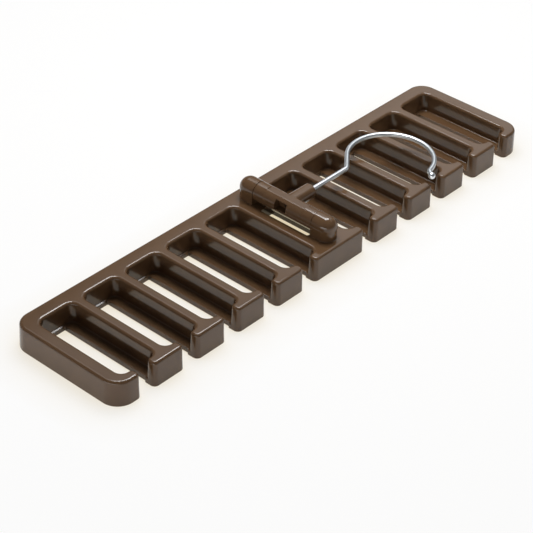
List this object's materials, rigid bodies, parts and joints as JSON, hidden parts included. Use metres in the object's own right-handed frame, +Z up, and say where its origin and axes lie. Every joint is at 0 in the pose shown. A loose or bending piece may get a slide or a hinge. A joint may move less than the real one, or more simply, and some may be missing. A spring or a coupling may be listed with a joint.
{
  "type": "tie hanger",
  "caption": "Comb-shaped plastic tie rack with open-mouthed pockets and a swivelling wire hook on a fold-flat tee pivot.",
  "frame": {"origin": "centre of the rack's underside, on the surface that the rack lies on", "axes": "+X along the rack towards the side that the folded hook points to, +Z up out of the face with the hinge, -Y towards the open mouths of the pockets"},
  "size_m": [0.3538, 0.0839, 0.0289],
  "materials": {
    "rack": "gloss",
    "pivot": "gloss",
    "wire": "polished",
    "tip": "polished"
  },
  "bodies": {
    "rack": {"rack": "rack"},
    "pivot": {"pivot": "pivot"},
    "hook": {"hook_wire": "wire", "hook_tip": "tip"}
  },
  "joints": [
    {"name": "hook_fold", "type": "hinge", "parent": "rack", "child": "pivot", "pos_m": [0, 0, 0.0225], "axis": [0, -1, 0], "range_deg": [0, 90]},
    {"name": "hook_swivel", "type": "hinge", "parent": "pivot", "child": "hook", "pos_m": [0.0198, 0, 0.0238], "axis": [1, 0, 0], "range_deg": [-22, 6]}
  ]
}
